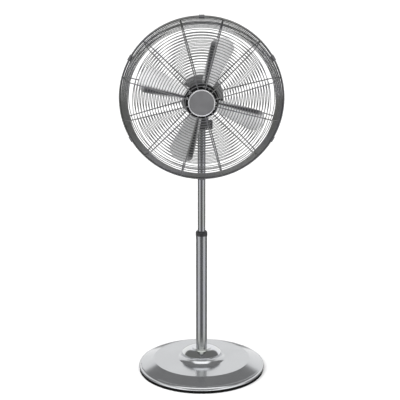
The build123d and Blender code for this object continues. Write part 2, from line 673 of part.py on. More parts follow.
def motor_screws():
    """Four long screws that clamp the motor body and three short ones for its cover."""
    long = Pos(0, 0, MOTOR_FRONT) * screw(BOLT_RADIUS, MOTOR_FRONT - MOTOR_REAR, 3.4, 1.6)
    short = screw(BOLT_RADIUS, COVER_RADIUS - SHELL_RADIUS + SHELL_WALL, 3.6, 1.6)
    short = along_x(short, (COVER_RADIUS, 0, 0))
    return motor_bolt_places(long) + cover_screw_places(short)


def motor_shaft():
    """Shaft with the worm cut in its rear end and a flat for the blade hub."""
    shaft = rod(SHAFT_RADIUS, SHAFT_REAR + 22, SHAFT_FRONT)
    shaft += rod(WORM_RADIUS, SHAFT_REAR, SHAFT_REAR + 22)
    return shaft - worm_grooves()


def worm_grooves():
    """Helical groove of the worm."""
    path = Pos(0, 0, SHAFT_REAR + 2) * Helix(WORM_PITCH, 18.0, WORM_RADIUS)
    section = Plane(origin=path @ 0, z_dir=path % 0) * Circle(0.9)
    return sweep(section, path=path, is_frenet=True)


def rotor_core():
    """Laminated rotor with its end rings, pressed on the shaft."""
    radius = STATOR_BORE - ROTOR_GAP
    low = STATOR_MIDDLE - STATOR_LENGTH / 2
    high = STATOR_MIDDLE + STATOR_LENGTH / 2
    core = tube(radius, SHAFT_RADIUS, low, high)
    return core + tube(radius - 2, radius - 7, low - 2, high + 2)


def cover_section(inset):
    """Half section of the motor cover, set in by a wall thickness."""
    radius = COVER_RADIUS - inset
    length = DOME_LENGTH - inset
    rear = COVER_REAR + inset
    depth = DOME_START - rear
    flat = radius * sqrt(1 - (depth / length) ** 2)
    half = depth * 0.6
    swell = radius * sqrt(1 - (half / length) ** 2)
    lines = [
        Line((0, COVER_FRONT), (radius, COVER_FRONT)),
        Line((radius, COVER_FRONT), (radius, DOME_START)),
        ThreePointArc((radius, DOME_START), (swell, DOME_START - half), (flat, rear)),
        Line((flat, rear), (0, rear)),
        Line((0, rear), (0, COVER_FRONT)),
    ]
    return revolve(Plane.XZ * make_face(lines), Axis.Z)


def motor_cover():
    """Bullet-shaped cover of motor and gearbox, with its openings."""
    shell = cover_section(0) - cover_section(SKIN)
    shell -= rod(COVER_RADIUS - SKIN, COVER_FRONT - SKIN - 0.5, COVER_FRONT + 1)
    reach = SWING_ARM + 5 + 3
    shell -= block((-reach, -COVER_RADIUS - 1, -reach), (reach, -COVER_RADIUS + 24, reach))
    shell -= Pos(CLUTCH_X, 0, -CLUTCH_BACK) * Rot(-90, 0, 0) * rod(CLUTCH_RADIUS + 1, 30, 70)
    shell -= rod(3.2, COVER_REAR - 1, COVER_REAR + SKIN + 1)
    shell -= Pos(0, -GLAND_DROP, 0) * rod(4.2, COVER_REAR - 1, COVER_REAR + SKIN + 1)
    hole = along_x(rod(BOLT_RADIUS + 0.1, COVER_RADIUS - 4, COVER_RADIUS + 1))
    shell = cut_all(shell, cover_screw_places(hole))
    vent = block((36, -1.5, COVER_REAR + 10), (60, 1.5, COVER_REAR + 22))
    return cut_all(shell, around(vent, 18, 10))


def speed_switch():
    """Rotary switch behind the rear face of the cover."""
    body = block((-11, -11, COVER_REAR + SKIN + GAP), (11, 11, CASE_REAR - 1.5))
    return body - rod(3.0 + RUN_FIT, COVER_REAR, COVER_REAR + SKIN + 9)


def speed_knob():
    """Speed knob with its spindle."""
    end = COVER_REAR - 0.5
    knob = Pos(0, 0, end) * Rot(180, 0, 0) * knurled(SPEED_KNOB_RADIUS, 0, SPEED_KNOB_LENGTH, 16, 1.8)
    front = end - SPEED_KNOB_LENGTH
    pointer = block((-1, 3, front - 1), (1, SPEED_KNOB_RADIUS - 3, front + 1))
    return knob + pointer + rod(3.0, end - 2, COVER_REAR + SKIN + 8)


def cord_gland():
    """Cord inlet in the rear face of the cover, below the speed knob."""
    inside = COVER_REAR + SKIN
    gland = rod(4.1, COVER_REAR - 1, inside + 2) + rod(5.0, inside + 0.1, inside + 2)
    gland += fillet(rod(6.0, COVER_REAR - 5, COVER_REAR - 0.1).edges().group_by(Axis.Z)[0], 1.5)
    return Pos(0, -GLAND_DROP, 0) * (gland - rod(2.9, COVER_REAR - 6, inside + 3))


# ---- cage, in the head frame
def guard_path(rise, shoulder, rail, flat, way):
    """Corners of one spoke's centre line as (radius, height), from the middle to the rim wire."""
    top = RIM_PLANE + way * rise
    bend = RIM_PLANE + way * shoulder
    half_radius = (flat[1] + SHOULDER_RADIUS) / 2
    half_height = top + (bend - top) * 0.35
    face = [(flat[0], top), (flat[1], top), (half_radius, half_height)]
    return face + [(SHOULDER_RADIUS, bend), (RIM_WIRE_RADIUS, rail)]


def spokes(points):
    """Twelve bent spokes welded to the rim wire."""
    path = Plane.XZ * FilletPolyline(*points, radius=[200.0, 400.0, SHOULDER_BEND])
    wire = swept(path, SPOKE_RADIUS)
    wire -= Pos(0, 0, points[-1][1]) * Torus(RIM_WIRE_RADIUS, HOOP_RADIUS - WELD)
    wire = max(wire.solids(), key=lambda piece: piece.volume)
    return around(wire, SPOKES, SPOKE_TURN)


def ring_at(radius, height):
    """One round wire ring."""
    return Pos(0, 0, height) * Torus(radius, RING_RADIUS)


def face_rings(points, way, first):
    """Concentric rings on the inner side of the spokes, over the face of a guard."""
    rings = []
    radius = first
    offset = SPOKE_RADIUS + RING_RADIUS - WELD
    while radius < SHOULDER_RADIUS - SHOULDER_BEND:
        start, end = next(pair for pair in zip(points, points[1:]) if radius <= pair[1][0])
        share = (radius - start[0]) / (end[0] - start[0])
        height = start[1] + share * (end[1] - start[1])
        rings.append(ring_at(radius, height - way * offset))
        radius += RING_PITCH
    return rings


def side_rings(points, way, count):
    """Closely spaced rings on the inner side of the spokes, round the side wall."""
    start, end = points[-2:]
    length = hypot(end[0] - start[0], end[1] - start[1])
    along = ((end[0] - start[0]) / length, (end[1] - start[1]) / length)
    inward = (-way * -along[1], -way * along[0])
    offset = SPOKE_RADIUS + RING_RADIUS - WELD
    first = SHOULDER_BEND * 0.2
    last = length - CLIP_BARREL - CLIP_WALL - RING_RADIUS
    rings = []
    for i in range(count):
        step = first + (last - first) * i / (count - 1)
        radius = start[0] + along[0] * step + inward[0] * offset
        height = start[1] + along[1] * step + inward[1] * offset
        rings.append(ring_at(radius, height))
    return rings


FRONT_PATH = guard_path(FRONT_RISE, FRONT_SHOULDER, RAIL_FRONT, (24.0, BADGE_RADIUS + 1.5), 1)
REAR_PATH = guard_path(REAR_RISE, REAR_SHOULDER, RAIL_REAR, (44.0, HUB_PLATE_RADIUS + 1.5), -1)


def hoop(height):
    """Rim wire of one guard."""
    return Pos(0, 0, height) * Torus(RIM_WIRE_RADIUS, HOOP_RADIUS)


def rear_hub_plate():
    """Plate in the middle of the rear guard, clamped on the nose of the motor."""
    rear = REAR_PATH[0][1] + SPOKE_RADIUS - PLATE_WELD
    return tube(HUB_PLATE_RADIUS, NOSE_RADIUS + LOOSE_FIT, rear, rear + HUB_PLATE)


def guard_nut():
    """Ring nut that holds the rear guard on the motor."""
    rear = REAR_PATH[0][1] + SPOKE_RADIUS - PLATE_WELD + HUB_PLATE
    nut = knurled(NOSE_RADIUS + 9, rear, rear + 7, 18, 2.4)
    return nut - rod(NOSE_RADIUS, rear - 1, rear + 8)


def badge_backplate():
    """Plate behind the spokes that carries the badge."""
    front = FRONT_PATH[0][1] - SPOKE_RADIUS + PLATE_WELD
    return rod(BADGE_RADIUS - 0.5, front - 1.6, front)


def badge_disc():
    """Plain round badge in front of the spokes."""
    back = FRONT_PATH[0][1] + SPOKE_RADIUS
    disc = rod(BADGE_RADIUS - 3.5, back, back + 2.4)
    post = rod(4.0, FRONT_PATH[0][1] - SPOKE_RADIUS + PLATE_WELD, back + 1)
    return fillet((disc + post).edges().group_by(Axis.Z)[-1], 0.8)


def badge_ring():
    """Bright bevelled ring round the badge."""
    back = FRONT_PATH[0][1] + SPOKE_RADIUS
    inner = BADGE_RADIUS - 3.5
    return turned(
        (inner, back),
        (BADGE_RADIUS, back),
        (BADGE_RADIUS, back + 1.4),
        (BADGE_RADIUS - 1.6, back + 3.4),
        (inner + 0.5, back + 3.4),
        (inner, back + 2.9),
    )


# ---- guard clips
def clip():
    """Snap clip at the top of the rim: hinged on the front rim wire, hooked behind the rear one."""
    half = CLIP_LENGTH / 2
    hook = -HOOP_SPACING - HOOP_RADIUS - 0.35
    top = HOOP_RADIUS + 0.4
    body = rod(CLIP_BARREL + CLIP_WALL, -half, half)
    body += block((hook - CLIP_WALL, top, -half), (0, top + CLIP_WALL, half))
    body += block((hook - CLIP_WALL, -2.2, -half), (hook, top + CLIP_WALL, half))
    body = fillet(body.edges().filter_by(Axis.Z).group_by(Axis.X)[0].sort_by(Axis.Y)[-1:], 1.2)
    tail = block((hook - CLIP_TAIL, -1.4, -half / 2), (hook - 0.5, 0.2, half / 2))
    body += Pos(hook, 0, 0) * Rot(0, 0, -CLIP_TAIL_LIFT) * Pos(-hook, 0, 0) * tail
    for side in (-1, 1):
        body -= Pos(-HOOP_SPACING / 2, 0, side * half / 2) * Rot(-90, 0, 0) * rod(1.1, top - 1, top + 2)
    body -= rod(CLIP_BARREL, -CLIP_LENGTH, CLIP_LENGTH)
    return Pos(0, RIM_WIRE_RADIUS, RAIL_FRONT) * Rot(0, -90, 0) * body


# ---- blades, in the head frame
def camber_shell(back, thickness):
    """Part of a wide tube, pitched, whose front face is hollow."""
    radius = BLADE_CAMBER + back
    shell = tube(radius + thickness, radius, -10, BLADE_TIP + 10)
    shell = Rot(-90, 0, 0) * shell
    shell = Pos(0, 0, BLADE_CAMBER) * shell
    keep = block((-90, -20, -40), (90, BLADE_TIP + 20, 60))
    return Pos(0, 0, BLADE_PLANE) * Rot(0, BLADE_PITCH, 0) * (shell & keep)


def blade_outline():
    """Outline of one blade, seen from the front: a narrow sector with a round tip."""
    root = BLADE_ROOT_HALF_WIDTH
    wide = BLADE_HALF_WIDTH
    shoulder = BLADE_TIP - BLADE_TIP_ROUND
    middle = ((root + wide) / 2 + 1.5, (BLADE_ROOT + shoulder) / 2)
    lines = [
        Line((-root, BLADE_ROOT), (root, BLADE_ROOT)),
        ThreePointArc((root, BLADE_ROOT), middle, (wide, shoulder)),
        ThreePointArc((wide, shoulder), (0, BLADE_TIP), (-wide, shoulder)),
        ThreePointArc((-wide, shoulder), (-middle[0], middle[1]), (-root, BLADE_ROOT)),
    ]
    return make_face(lines)


def rivet_holes(radius):
    """Cutters for the two rivets of the upright blade."""
    hole = rod(radius, BLADE_BACK, BLADE_FRONT)
    return [Pos(side * RIVET_SPREAD, RIVET_REACH, 0) * hole for side in (-1, 1)]


def blades():
    """Four cambered aluminium blades."""
    prism = Pos(0, 0, BLADE_BACK) * extrude(blade_outline(), BLADE_FRONT - BLADE_BACK)
    blade = camber_shell(0, BLADE_THICKNESS) & prism
    blade = cut_all(blade, rivet_holes(RIVET_RADIUS + 0.05))
    return around(max(blade.solids(), key=lambda piece: piece.volume), BLADES)


def hub_arm():
    """Arm of the hub behind the root of the upright blade."""
    wide = ARM_HALF_WIDTH
    neck = HUB_BOSS_RADIUS * 0.6
    right = [(neck, 0), (wide, ARM_TIP * 0.45), (wide, ARM_TIP * 0.8), (wide / 2, ARM_TIP)]
    left = [(-x, y) for x, y in reversed(right)]
    outline = make_face(Polyline(*right, *left, close=True))
    prism = Pos(0, 0, BLADE_BACK) * extrude(outline, BLADE_FRONT - BLADE_BACK)
    arm = camber_shell(BLADE_THICKNESS, ARM_THICKNESS) & prism
    return max(arm.solids(), key=lambda piece: piece.volume)


def blade_hub():
    """Hub boss with four pitched arms, on the motor shaft."""
    hub = rod(HUB_BOSS_RADIUS, HUB_DISC_PLACE - HUB_BOSS_LENGTH, HUB_DISC_PLACE)
    for arm in around(hub_arm(), BLADES):
        hub += arm
    for hole in rivet_holes(RIVET_RADIUS + 0.05):
        hub = cut_all(hub, around(hole, BLADES))
    return hub - rod(SHAFT_RADIUS, BLADE_BACK, BLADE_FRONT)


def hub_disc():
    """Dark disc in front of the blade roots."""
    disc = tube(HUB_DISC_RADIUS, SHAFT_RADIUS + 0.1, HUB_DISC_PLACE, HUB_DISC_FRONT)
    for hole in rivet_holes(RIVET_RADIUS + 0.05):
        disc = cut_all(disc, around(hole, BLADES))
    return disc


def blade_rivets():
    """Two rivets for each blade, from the disc to the hub arm."""
    head = rod(RIVET_HEAD_RADIUS, HUB_DISC_FRONT, HUB_DISC_FRONT + 1.8)
    head = fillet(head.edges().group_by(Axis.Z)[-1], 1.2)
    rivet = head + rod(RIVET_RADIUS, BLADE_PLANE - RIVET_TAIL, HUB_DISC_FRONT)
    rivets = []
    for side in (-1, 1):
        rivets += around(Pos(side * RIVET_SPREAD, RIVET_REACH, 0) * rivet, BLADES)
    return rivets


def blade_nut():
    """Cap nut that holds the hub on the shaft."""
    nut = knurled(11.0, HUB_DISC_FRONT, HUB_DISC_FRONT + 15, 8, 2.2)
    return nut - rod(SHAFT_RADIUS, HUB_DISC_FRONT - 1, SHAFT_FRONT)


# ---- writing the pieces
def save(name, shape, place=None):
    """Write one node, as one solid or as a group of separate solids."""
    pieces = shape if isinstance(shape, list) else [shape]
    solids = []
    for piece in pieces:
        solids += (place * piece if place else piece).solids()
    export_step(Compound(children=solids) if len(solids) > 1 else solids[0], f"parts/{name}.step")


os.makedirs("parts", exist_ok=True)

STAND_NODES = {
    "base_cover": base_cover,
    "base_edging": base_edging,
    "base_floor_plate": base_floor_plate,
    "base_weight": base_weight,
    "pole_flange": pole_flange,
    "base_screws": base_screws,
    "base_dome": base_dome,
    "outer_tube": outer_tube,
    "collar_bush": collar_bush,
    "lock_knob": lock_knob,
    "inner_tube": inner_tube,
    "inner_guide": inner_guide,
    "mast_plug": mast_plug,
    "tilt_yoke": tilt_yoke,
    "tilt_bolt": tilt_bolt,
    "tilt_knob": tilt_knob,
    "gear_case": gear_case,
    "gear_lid": gear_lid,
    "swivel_pin": swivel_pin,
    "worm_wheel": worm_wheel,
    "clutch_shaft": clutch_shaft,
    "swing_knob": swing_knob,
    "crank_gear": crank_gear,
    "swing_link": swing_link,
}
for name, make in STAND_NODES.items():
    save(name, make())

HEAD_NODES = {
    "motor_front_shell": motor_front_shell,
    "motor_rear_shell": motor_rear_shell,
    "motor_bearings": bearings,
    "stator_core": stator_core,
    "stator_windings": stator_windings,
    "motor_screws": motor_screws,
    "motor_shaft": motor_shaft,
    "rotor_core": rotor_core,
    "motor_cover": motor_cover,
    "speed_switch": speed_switch,
    "speed_knob": speed_knob,
    "cord_gland": cord_gland,
    "rear_hub_plate": rear_hub_plate,
    "guard_nut": guard_nut,
    "badge_backplate": badge_backplate,
    "badge_disc": badge_disc,
    "badge_ring": badge_ring,
}
for name, make in HEAD_NODES.items():
    save(name, make(), HEAD)

ROTOR_NODES = {
    "blades": blades,
    "blade_hub": blade_hub,
    "hub_disc": hub_disc,
    "blade_rivets": blade_rivets,
    "blade_nut": blade_nut,
}
for name, make in ROTOR_NODES.items():
    save(name, make(), HEAD * Rot(0, 0, -BLADE_TURN))

GUARDS = (
    ("front", FRONT_PATH, 1, RAIL_FRONT, FIRST_FRONT_RING, FRONT_SIDE_RINGS),
    ("rear", REAR_PATH, -1, RAIL_REAR, FIRST_REAR_RING, REAR_SIDE_RINGS),
)
for side, path, way, rail, first, count in GUARDS:
    save(f"{side}_rim_wire", hoop(rail), HEAD)
    save(f"{side}_spokes", spokes(path), HEAD)
    save(f"{side}_face_rings", face_rings(path, way, first), HEAD)
    save(f"{side}_side_rings", side_rings(path, way, count), HEAD)

for number, piece in enumerate(around(clip(), CLIPS), start=1):
    save(f"guard_clip_{number}", piece, HEAD)
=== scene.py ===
"""Looks of a free-standing pedestal fan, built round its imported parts.

Lengths are metres. Each sub-assembly is a class that holds its sizes and dresses its pieces,
each finish is a small frozen class, and the studio holds the floor, the lights and the camera.
"""

import logging
import math
from collections.abc import Iterable
from dataclasses import dataclass, field
from enum import Enum
from typing import Any

import bpy
from mathutils import Matrix, Vector


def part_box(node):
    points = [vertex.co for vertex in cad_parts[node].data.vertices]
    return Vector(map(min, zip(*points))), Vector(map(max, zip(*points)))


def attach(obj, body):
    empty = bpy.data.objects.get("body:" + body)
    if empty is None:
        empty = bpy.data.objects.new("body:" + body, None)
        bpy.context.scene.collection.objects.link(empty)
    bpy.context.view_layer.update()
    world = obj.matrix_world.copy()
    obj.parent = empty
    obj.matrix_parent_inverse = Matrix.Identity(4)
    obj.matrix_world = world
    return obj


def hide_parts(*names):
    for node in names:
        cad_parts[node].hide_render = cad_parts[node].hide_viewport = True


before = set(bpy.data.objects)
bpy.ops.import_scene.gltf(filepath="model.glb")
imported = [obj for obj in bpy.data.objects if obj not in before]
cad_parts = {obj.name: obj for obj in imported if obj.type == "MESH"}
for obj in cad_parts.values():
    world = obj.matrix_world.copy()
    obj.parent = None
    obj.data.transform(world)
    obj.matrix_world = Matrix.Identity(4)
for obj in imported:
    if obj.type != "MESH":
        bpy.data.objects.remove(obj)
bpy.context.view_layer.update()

MATERIAL_PREFIX = "fan_"
MERGE_DISTANCE = 0.000001
ROUND_ANGLE = 60.0
log = logging.getLogger("fan")

Colour = tuple[float, float, float]


# ---------------------------------------------------------------------------------------
# Shader writing
# ---------------------------------------------------------------------------------------


class Field:
    """A value that varies over a surface: one socket, with arithmetic that adds Math nodes."""

    def __init__(self, shader: "Shader", socket: bpy.types.NodeSocket) -> None:
        """Wraps a socket.

        Args:
            shader: The node tree that the socket is in.
            socket: An output socket.
        """
        self.shader = shader
        self.socket = socket

    def math(self, operation: str, *others: Any, clamp: bool = False) -> "Field":
        """Adds one Math node.

        Args:
            operation: The node's operation.
            others: The further operands.
            clamp: Whether the result is kept from 0 to 1.

        Returns:
            The node's result.
        """
        settings = {"operation": operation, "use_clamp": clamp}
        values = {i: v for i, v in enumerate((self, *others))}
        return self.shader.node("ShaderNodeMath", settings, values)

    def __add__(self, other: Any) -> "Field":
        """Returns the sum."""
        return self.math("ADD", other)

    __radd__ = __add__

    def __mul__(self, other: Any) -> "Field":
        """Returns the product."""
        return self.math("MULTIPLY", other)

    __rmul__ = __mul__

    def __sub__(self, other: Any) -> "Field":
        """Returns the difference."""
        return self.math("SUBTRACT", other)

    def __rsub__(self, other: float) -> "Field":
        """Returns a number less this value."""
        return self.math("MULTIPLY", -1.0) + other

    def __truediv__(self, other: Any) -> "Field":
        """Returns the quotient."""
        return self.math("DIVIDE", other)

    def __pow__(self, other: Any) -> "Field":
        """Returns the power."""
        return self.math("POWER", other)

    def step(self, low: float, high: float) -> "Field":
        """Runs smoothly from 0 at low to 1 at high.

        Args:
            low: The value where the step starts.
            high: The value where it ends. It may be the smaller of the two.

        Returns:
            The step.
        """
        settings = {"interpolation_type": "SMOOTHSTEP"}
        first, last, ends = low, high, (0.0, 1.0)
        if low > high:
            first, last, ends = high, low, (1.0, 0.0)
        inputs = {0: self, 1: first, 2: last, 3: ends[0], 4: ends[1]}
        return self.shader.node("ShaderNodeMapRange", settings, inputs)

    def band(self, low: float, high: float, soft: float) -> "Field":
        """Is 1 between low and high, and falls to 0 over a soft edge outside them.

        Args:
            low: The band's lower end.
            high: The band's upper end.
            soft: The width of each edge.

        Returns:
            The band.
        """
        return self.step(low - soft, low) * self.step(high + soft, high)


class Shader:
    """Writes the node tree of one material, or of the world."""

    def __init__(self, tree: bpy.types.NodeTree) -> None:
        """Empties a node tree.

        Args:
            tree: The tree to write.
        """
        self.tree = tree
        tree.nodes.clear()

    def raw(self, kind: str, settings: dict[str, Any] | None = None,
            inputs: dict[Any, Any] | None = None) -> bpy.types.Node:
        """Adds a node, sets it and fills its sockets.

        Args:
            kind: The node's type.
            settings: Properties of the node, set first. "stops" sets a ramp's stops.
            inputs: Values or fields, by socket name or number.

        Returns:
            The node.
        """
        node = self.tree.nodes.new(kind)
        for name, value in (settings or {}).items():
            if name == "stops":
                self._stops(node.color_ramp, value)
            else:
                setattr(node, name, value)
        for key, value in (inputs or {}).items():
            socket = node.inputs[key]
            if isinstance(value, Field):
                self.tree.links.new(value.socket, socket)
            else:
                socket.default_value = value
        return node

    def node(self, kind: str, settings: dict[str, Any] | None = None,
             inputs: dict[Any, Any] | None = None, out: Any = 0) -> Field:
        """Adds a node as raw() does.

        Args:
            kind: The node's type.
            settings: Properties of the node.
            inputs: Values or fields, by socket name or number.
            out: The output socket that is wanted.

        Returns:
            That output.
        """
        return Field(self, self.raw(kind, settings, inputs).outputs[out])

    @staticmethod
    def _stops(ramp: bpy.types.ColorRamp, stops: list[tuple[float, Any]]) -> None:
        """Sets a ramp's stops.

        Args:
            ramp: The ramp.
            stops: Places from 0 to 1, each with its colour.
        """
        while len(ramp.elements) < len(stops):
            ramp.elements.new(0.5)
        for element, (place, colour) in zip(ramp.elements, stops):
            element.position = place
            element.color = (*colour, 1.0)

    def place(self) -> Field:
        """Returns the Object coordinates."""
        return self.node("ShaderNodeTexCoord", out="Object")

    def parts(self, vector: Field) -> tuple[Field, Field, Field]:
        """Returns a vector's three components."""
        split = self.raw("ShaderNodeSeparateXYZ", inputs={0: vector})
        return tuple(Field(self, socket) for socket in split.outputs)

    def join(self, x: Any, y: Any, z: Any) -> Field:
        """Returns the vector of three components."""
        return self.node("ShaderNodeCombineXYZ", inputs={0: x, 1: y, 2: z})

    def stretch(self, vector: Field, factors: tuple[float, float, float]) -> Field:
        """Returns a vector, each axis multiplied by its factor."""
        return self.node("ShaderNodeVectorMath", {"operation": "MULTIPLY"}, {0: vector, 1: factors})

    def noise(self, vector: Field, scale: float, detail: float = 3.0, rough: float = 0.5) -> Field:
        """Adds a noise.

        Args:
            vector: Where it is read.
            scale: Its cells per metre.
            detail: Its octaves.
            rough: The share of each finer octave.

        Returns:
            A value round 0.5.
        """
        inputs = {"Vector": vector, "Scale": scale, "Detail": detail, "Roughness": rough}
        return self.node("ShaderNodeTexNoise", inputs=inputs)

    def cells(self, vector: Field, scale: float) -> Field:
        """Returns the distance to the nearest of scattered points."""
        return self.node("ShaderNodeTexVoronoi", inputs={"Vector": vector, "Scale": scale})

    def mix(self, share: Any, first: Any, second: Any) -> Field:
        """Mixes two colours.

        Args:
            share: How much of the second is taken.
            first: A colour or field.
            second: A colour or field.

        Returns:
            The mixed colour.
        """
        inputs = {0: share}
        for index, colour in ((6, first), (7, second)):
            inputs[index] = colour if isinstance(colour, Field) else (*colour, 1.0)
        return self.node("ShaderNodeMix", {"data_type": "RGBA"}, inputs, out=2)

    def bump(self, height: Field, depth: float, normal: Field | None = None) -> Field:
        """Adds relief.

        Args:
            height: The relief from 0 to 1.
            depth: Its depth in metres.
            normal: Relief that it is laid over.

        Returns:
            The normal.
        """
        inputs: dict[Any, Any] = {"Height": height, "Distance": depth, "Strength": 1.0}
        if normal is not None:
            inputs["Normal"] = normal
        return self.node("ShaderNodeBump", inputs=inputs)

    def surface(self, sockets: dict[str, Any]) -> None:
        """Ends a material in a Principled surface.

        Args:
            sockets: Values or fields of the shader, by socket name.
        """
        body = self.raw("ShaderNodeBsdfPrincipled", inputs=sockets)
        end = self.raw("ShaderNodeOutputMaterial")
        self.tree.links.new(body.outputs[0], end.inputs[0])


# ---------------------------------------------------------------------------------------
# Finishes
# ---------------------------------------------------------------------------------------


class Axis(Enum):
    """The direction that a grain follows, as the stretch of its noise along X, Y and Z."""

    LENGTHWISE = (1.0, 1.0, 0.02)
    CROSSWISE = (0.02, 1.0, 1.0)
    EVEN = (1.0, 1.0, 1.0)


@dataclass(frozen=True)
class Finish:
    """What every finish has: a name, a colour and a base roughness."""

    name: str
    colour: Colour
    roughness: float = 0.3

    def material(self) -> bpy.types.Material:
        """Returns the finish's material, made once."""
        made = bpy.data.materials.get(MATERIAL_PREFIX + self.name)
        if made is None:
            made = bpy.data.materials.new(MATERIAL_PREFIX + self.name)
            made.use_nodes = True
            self.write(Shader(made.node_tree))
        return made

    def write(self, shader: Shader) -> None:
        """Writes the material's nodes.

        Args:
            shader: The empty tree.
        """
        raise NotImplementedError

    def dress(self, pieces: Iterable[bpy.types.Object]) -> None:
        """Gives pieces this finish.

        Args:
            pieces: Mesh objects.
        """
        for piece in pieces:
            if not piece.material_slots:
                piece.data.materials.append(None)
            for slot in piece.material_slots:
                slot.material = self.material()


@dataclass(frozen=True)
class SilverEnamel(Finish):
    """A metallic lacquer: fine flakes under a smooth clear coat with a slight orange peel."""

    coat: float = 0.6
    peel_depth: float = 0.00001

    def write(self, shader: Shader) -> None:
        """Writes the lacquer."""
        place = shader.place()
        cloud = shader.noise(place, 9.0, 2.0)
        flake = shader.cells(place, 2600.0).step(0.25, 0.75)
        peel = shader.noise(place, 420.0, 1.0)
        light = tuple(min(1.0, c * 1.07) for c in self.colour)
        dark = tuple(c * 0.93 for c in self.colour)
        shade = shader.mix(cloud.step(0.3, 0.7) * 0.5 + flake * 0.5, dark, light)
        shader.surface({
            "Base Color": shade,
            "Metallic": 0.92,
            "Roughness": cloud * 0.06 + flake * 0.05 + (self.roughness - 0.05),
            "Coat Weight": self.coat,
            "Coat Roughness": 0.06,
            "Normal": shader.bump(peel, self.peel_depth),
        })


@dataclass(frozen=True)
class PlatedMetal(Finish):
    """A plated and polished metal with faint polishing lines and a little haze."""

    grain: Axis = Axis.LENGTHWISE
    line_depth: float = 0.000004
    haze: float = 0.08
    metallic: float = 1.0

    def write(self, shader: Shader) -> None:
        """Writes the plate."""
        place = shader.place()
        lined = shader.stretch(place, self.grain.value)
        lines = shader.noise(lined, 1500.0, 2.0)
        stain = shader.noise(place, 14.0, 3.0)
        fine = shader.noise(place, 120.0, 2.0)
        warm = (self.colour[0] * 0.97, self.colour[1] * 0.98, self.colour[2] * 0.93)
        cool = (self.colour[0] * 1.0, self.colour[1] * 1.0, min(1.0, self.colour[2] * 1.04))
        shader.surface({
            "Base Color": shader.mix(stain.step(0.35, 0.65), warm, cool),
            "Metallic": self.metallic,
            "Roughness": fine * self.haze + lines * 0.05 + (self.roughness - self.haze / 2.0),
            "Normal": shader.bump(lines, self.line_depth),
        })


@dataclass(frozen=True)
class PressedSheet(Finish):
    """Bright pressed aluminium, with a rolled grain turned about the fan's axis.

    A soft dark band along one edge of each blade is a painted reflection of dark surroundings, put
    into the base colour. No shape makes it.
    """

    axis_height: float = 0.8353
    blades: int = 4
    reflection_band_turn: float = -11.5
    reflection_band_width: float = 4.0
    reflection_band_start: float = 0.05
    reflection_band_end: float = 0.15
    reflection_band_strength: float = 0.95
    reflection_band_soft: float = 0.03
    reflection_band_colour: Colour = (0.05, 0.05, 0.055)
    line_depth: float = 0.00001

    def write(self, shader: Shader) -> None:
        """Writes the sheet."""
        place = shader.place()
        across, along, up = shader.parts(place)
        rise = up - self.axis_height
        reach = (across * across + rise * rise) ** 0.5
        turn = rise.math("ARCTAN2", across)
        turned = shader.join(reach * 900.0, along * 40.0, turn * 3.0)
        share = math.tau / self.blades
        within = (turn + share / 2.0).math("FLOORED_MODULO", share) - share / 2.0
        middle, half = math.radians(self.reflection_band_turn), math.radians(self.reflection_band_width)
        # Painted reflection: a soft dark band along one edge of each blade stands for the dark
        # surroundings mirrored there.
        painted_reflection_band = within.band(middle - half * 0.3, middle + half * 0.3, half)
        painted_reflection_band = painted_reflection_band * reach.band(self.reflection_band_start, self.reflection_band_end, self.reflection_band_soft) * self.reflection_band_strength
        rolled = shader.noise(turned, 1.0, 2.0)
        cloud = shader.noise(place, 22.0, 3.0)
        scuff = shader.noise(shader.stretch(place, (1.0, 0.3, 0.3)), 260.0, 4.0, 0.7).step(0.62, 0.8)
        light = tuple(min(1.0, c * 1.04) for c in self.colour)
        dark = tuple(c * 0.9 for c in self.colour)
        sheet = shader.mix(rolled * 0.6 + cloud * 0.4, dark, light)
        shader.surface({
            # The base colour carries the painted reflection band.
            "Base Color": shader.mix(painted_reflection_band, sheet, self.reflection_band_colour),
            "Metallic": 1.0,
            "Roughness": rolled * 0.1 + cloud * 0.06 + scuff * 0.08 + (self.roughness - 0.08),
            "Normal": shader.bump(rolled, self.line_depth),
        })


@dataclass(frozen=True)
class Moulded(Finish):
    """A moulded plastic or rubber with a fine eroded grain."""

    grain_scale: float = 1500.0
    grain_depth: float = 0.00004
    specular: float = 0.45

    def write(self, shader: Shader) -> None:
        """Writes the plastic."""
        place = shader.place()
        grain = shader.noise(place, self.grain_scale, 3.0, 0.6)
        cloud = shader.noise(place, 30.0, 3.0)
        rub = shader.noise(place, 190.0, 4.0, 0.7).step(0.58, 0.75)
        light = tuple(min(1.0, c * 1.25 + 0.006) for c in self.colour)
        shader.surface({
            "Base Color": shader.mix(cloud * 0.6 + rub * 0.4, self.colour, light),
            "Roughness": grain * 0.12 + rub * 0.08 + (self.roughness - 0.06),
            "Specular IOR Level": self.specular,
            "Normal": shader.bump(grain, self.grain_depth),
        })


@dataclass(frozen=True)
class GlossPaint(Finish):
    """A stoved enamel over steel, with a light orange peel and a faintly patchy tone."""

    metallic: float = 0.0
    peel_scale: float = 330.0
    peel_depth: float = 0.00003

    def write(self, shader: Shader) -> None:
        """Writes the enamel."""
        place = shader.place()
        peel = shader.noise(place, self.peel_scale, 2.0)
        cloud = shader.noise(place, 26.0, 4.0)
        light = tuple(min(1.0, c * 1.15 + 0.004) for c in self.colour)
        shader.surface({
            "Base Color": shader.mix(cloud.step(0.35, 0.7), self.colour, light),
            "Metallic": self.metallic,
            "Roughness": cloud * 0.1 + peel * 0.05 + (self.roughness - 0.07),
            "Coat Weight": 0.25,
            "Normal": shader.bump(peel, self.peel_depth),
        })


